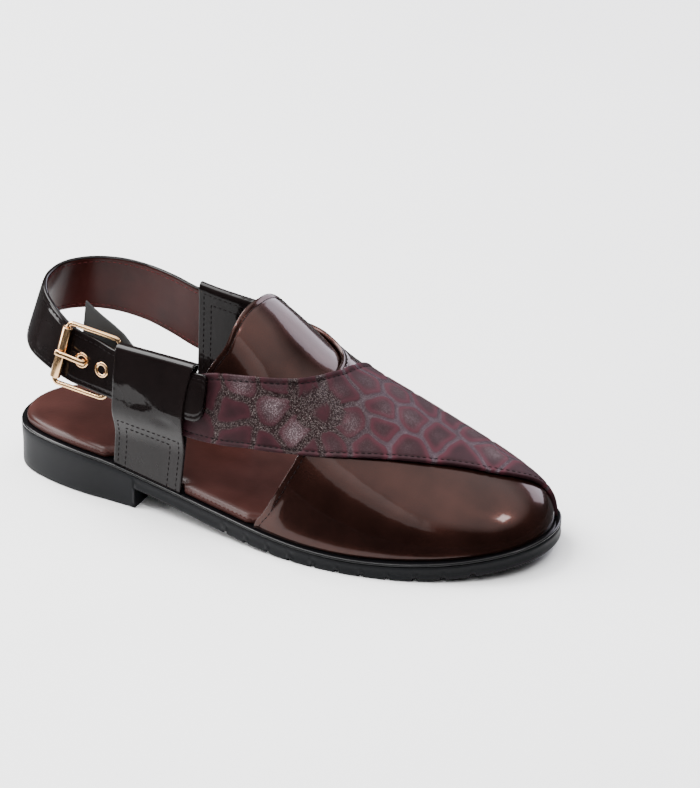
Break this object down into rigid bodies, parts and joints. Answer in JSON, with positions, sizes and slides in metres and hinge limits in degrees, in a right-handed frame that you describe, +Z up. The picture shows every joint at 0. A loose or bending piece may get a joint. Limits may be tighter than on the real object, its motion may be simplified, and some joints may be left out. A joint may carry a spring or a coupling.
{
  "type": "peshawari chappal sandal",
  "caption": "Right-foot closed-toe leather sandal with wide bands crossing over the instep, a raised tongue leaf, side loops, a buckled heel strap and a low-heeled rubber sole",
  "frame": {"origin": "centre of the shoe's box on the ground plane the sole rests on", "axes": "+X to the toe along the sole, +Y to the inner side of the right foot, +Z up"},
  "size_m": [0.298, 0.1038, 0.1127],
  "materials": {
    "sole_rubber": "matt moulded rubber",
    "welt_rubber": "glossy black rim",
    "insole_leather": "shiny reddish brown leather",
    "patent_leather": "brown patent with a metallic sheen",
    "black_patent": "black patent",
    "printed_leather": "burgundy leather embossed with scales",
    "webbing": "black woven elastic",
    "gilt_metal": "polished gilt metal"
  },
  "bodies": {
    "root": {"outsole": "sole_rubber", "welt": "welt_rubber", "insole": "insole_leather", "upper": "printed_leather", "tongue": "patent_leather", "outer_loop": "black_patent", "inner_loop": "black_patent", "heel_strap": "black_patent", "buckle_guard": "webbing", "buckle_frame": "gilt_metal", "buckle_roller": "gilt_metal", "buckle_prong": "gilt_metal", "eyelet_1": "gilt_metal", "eyelet_2": "gilt_metal"}
  },
  "joints": []
}
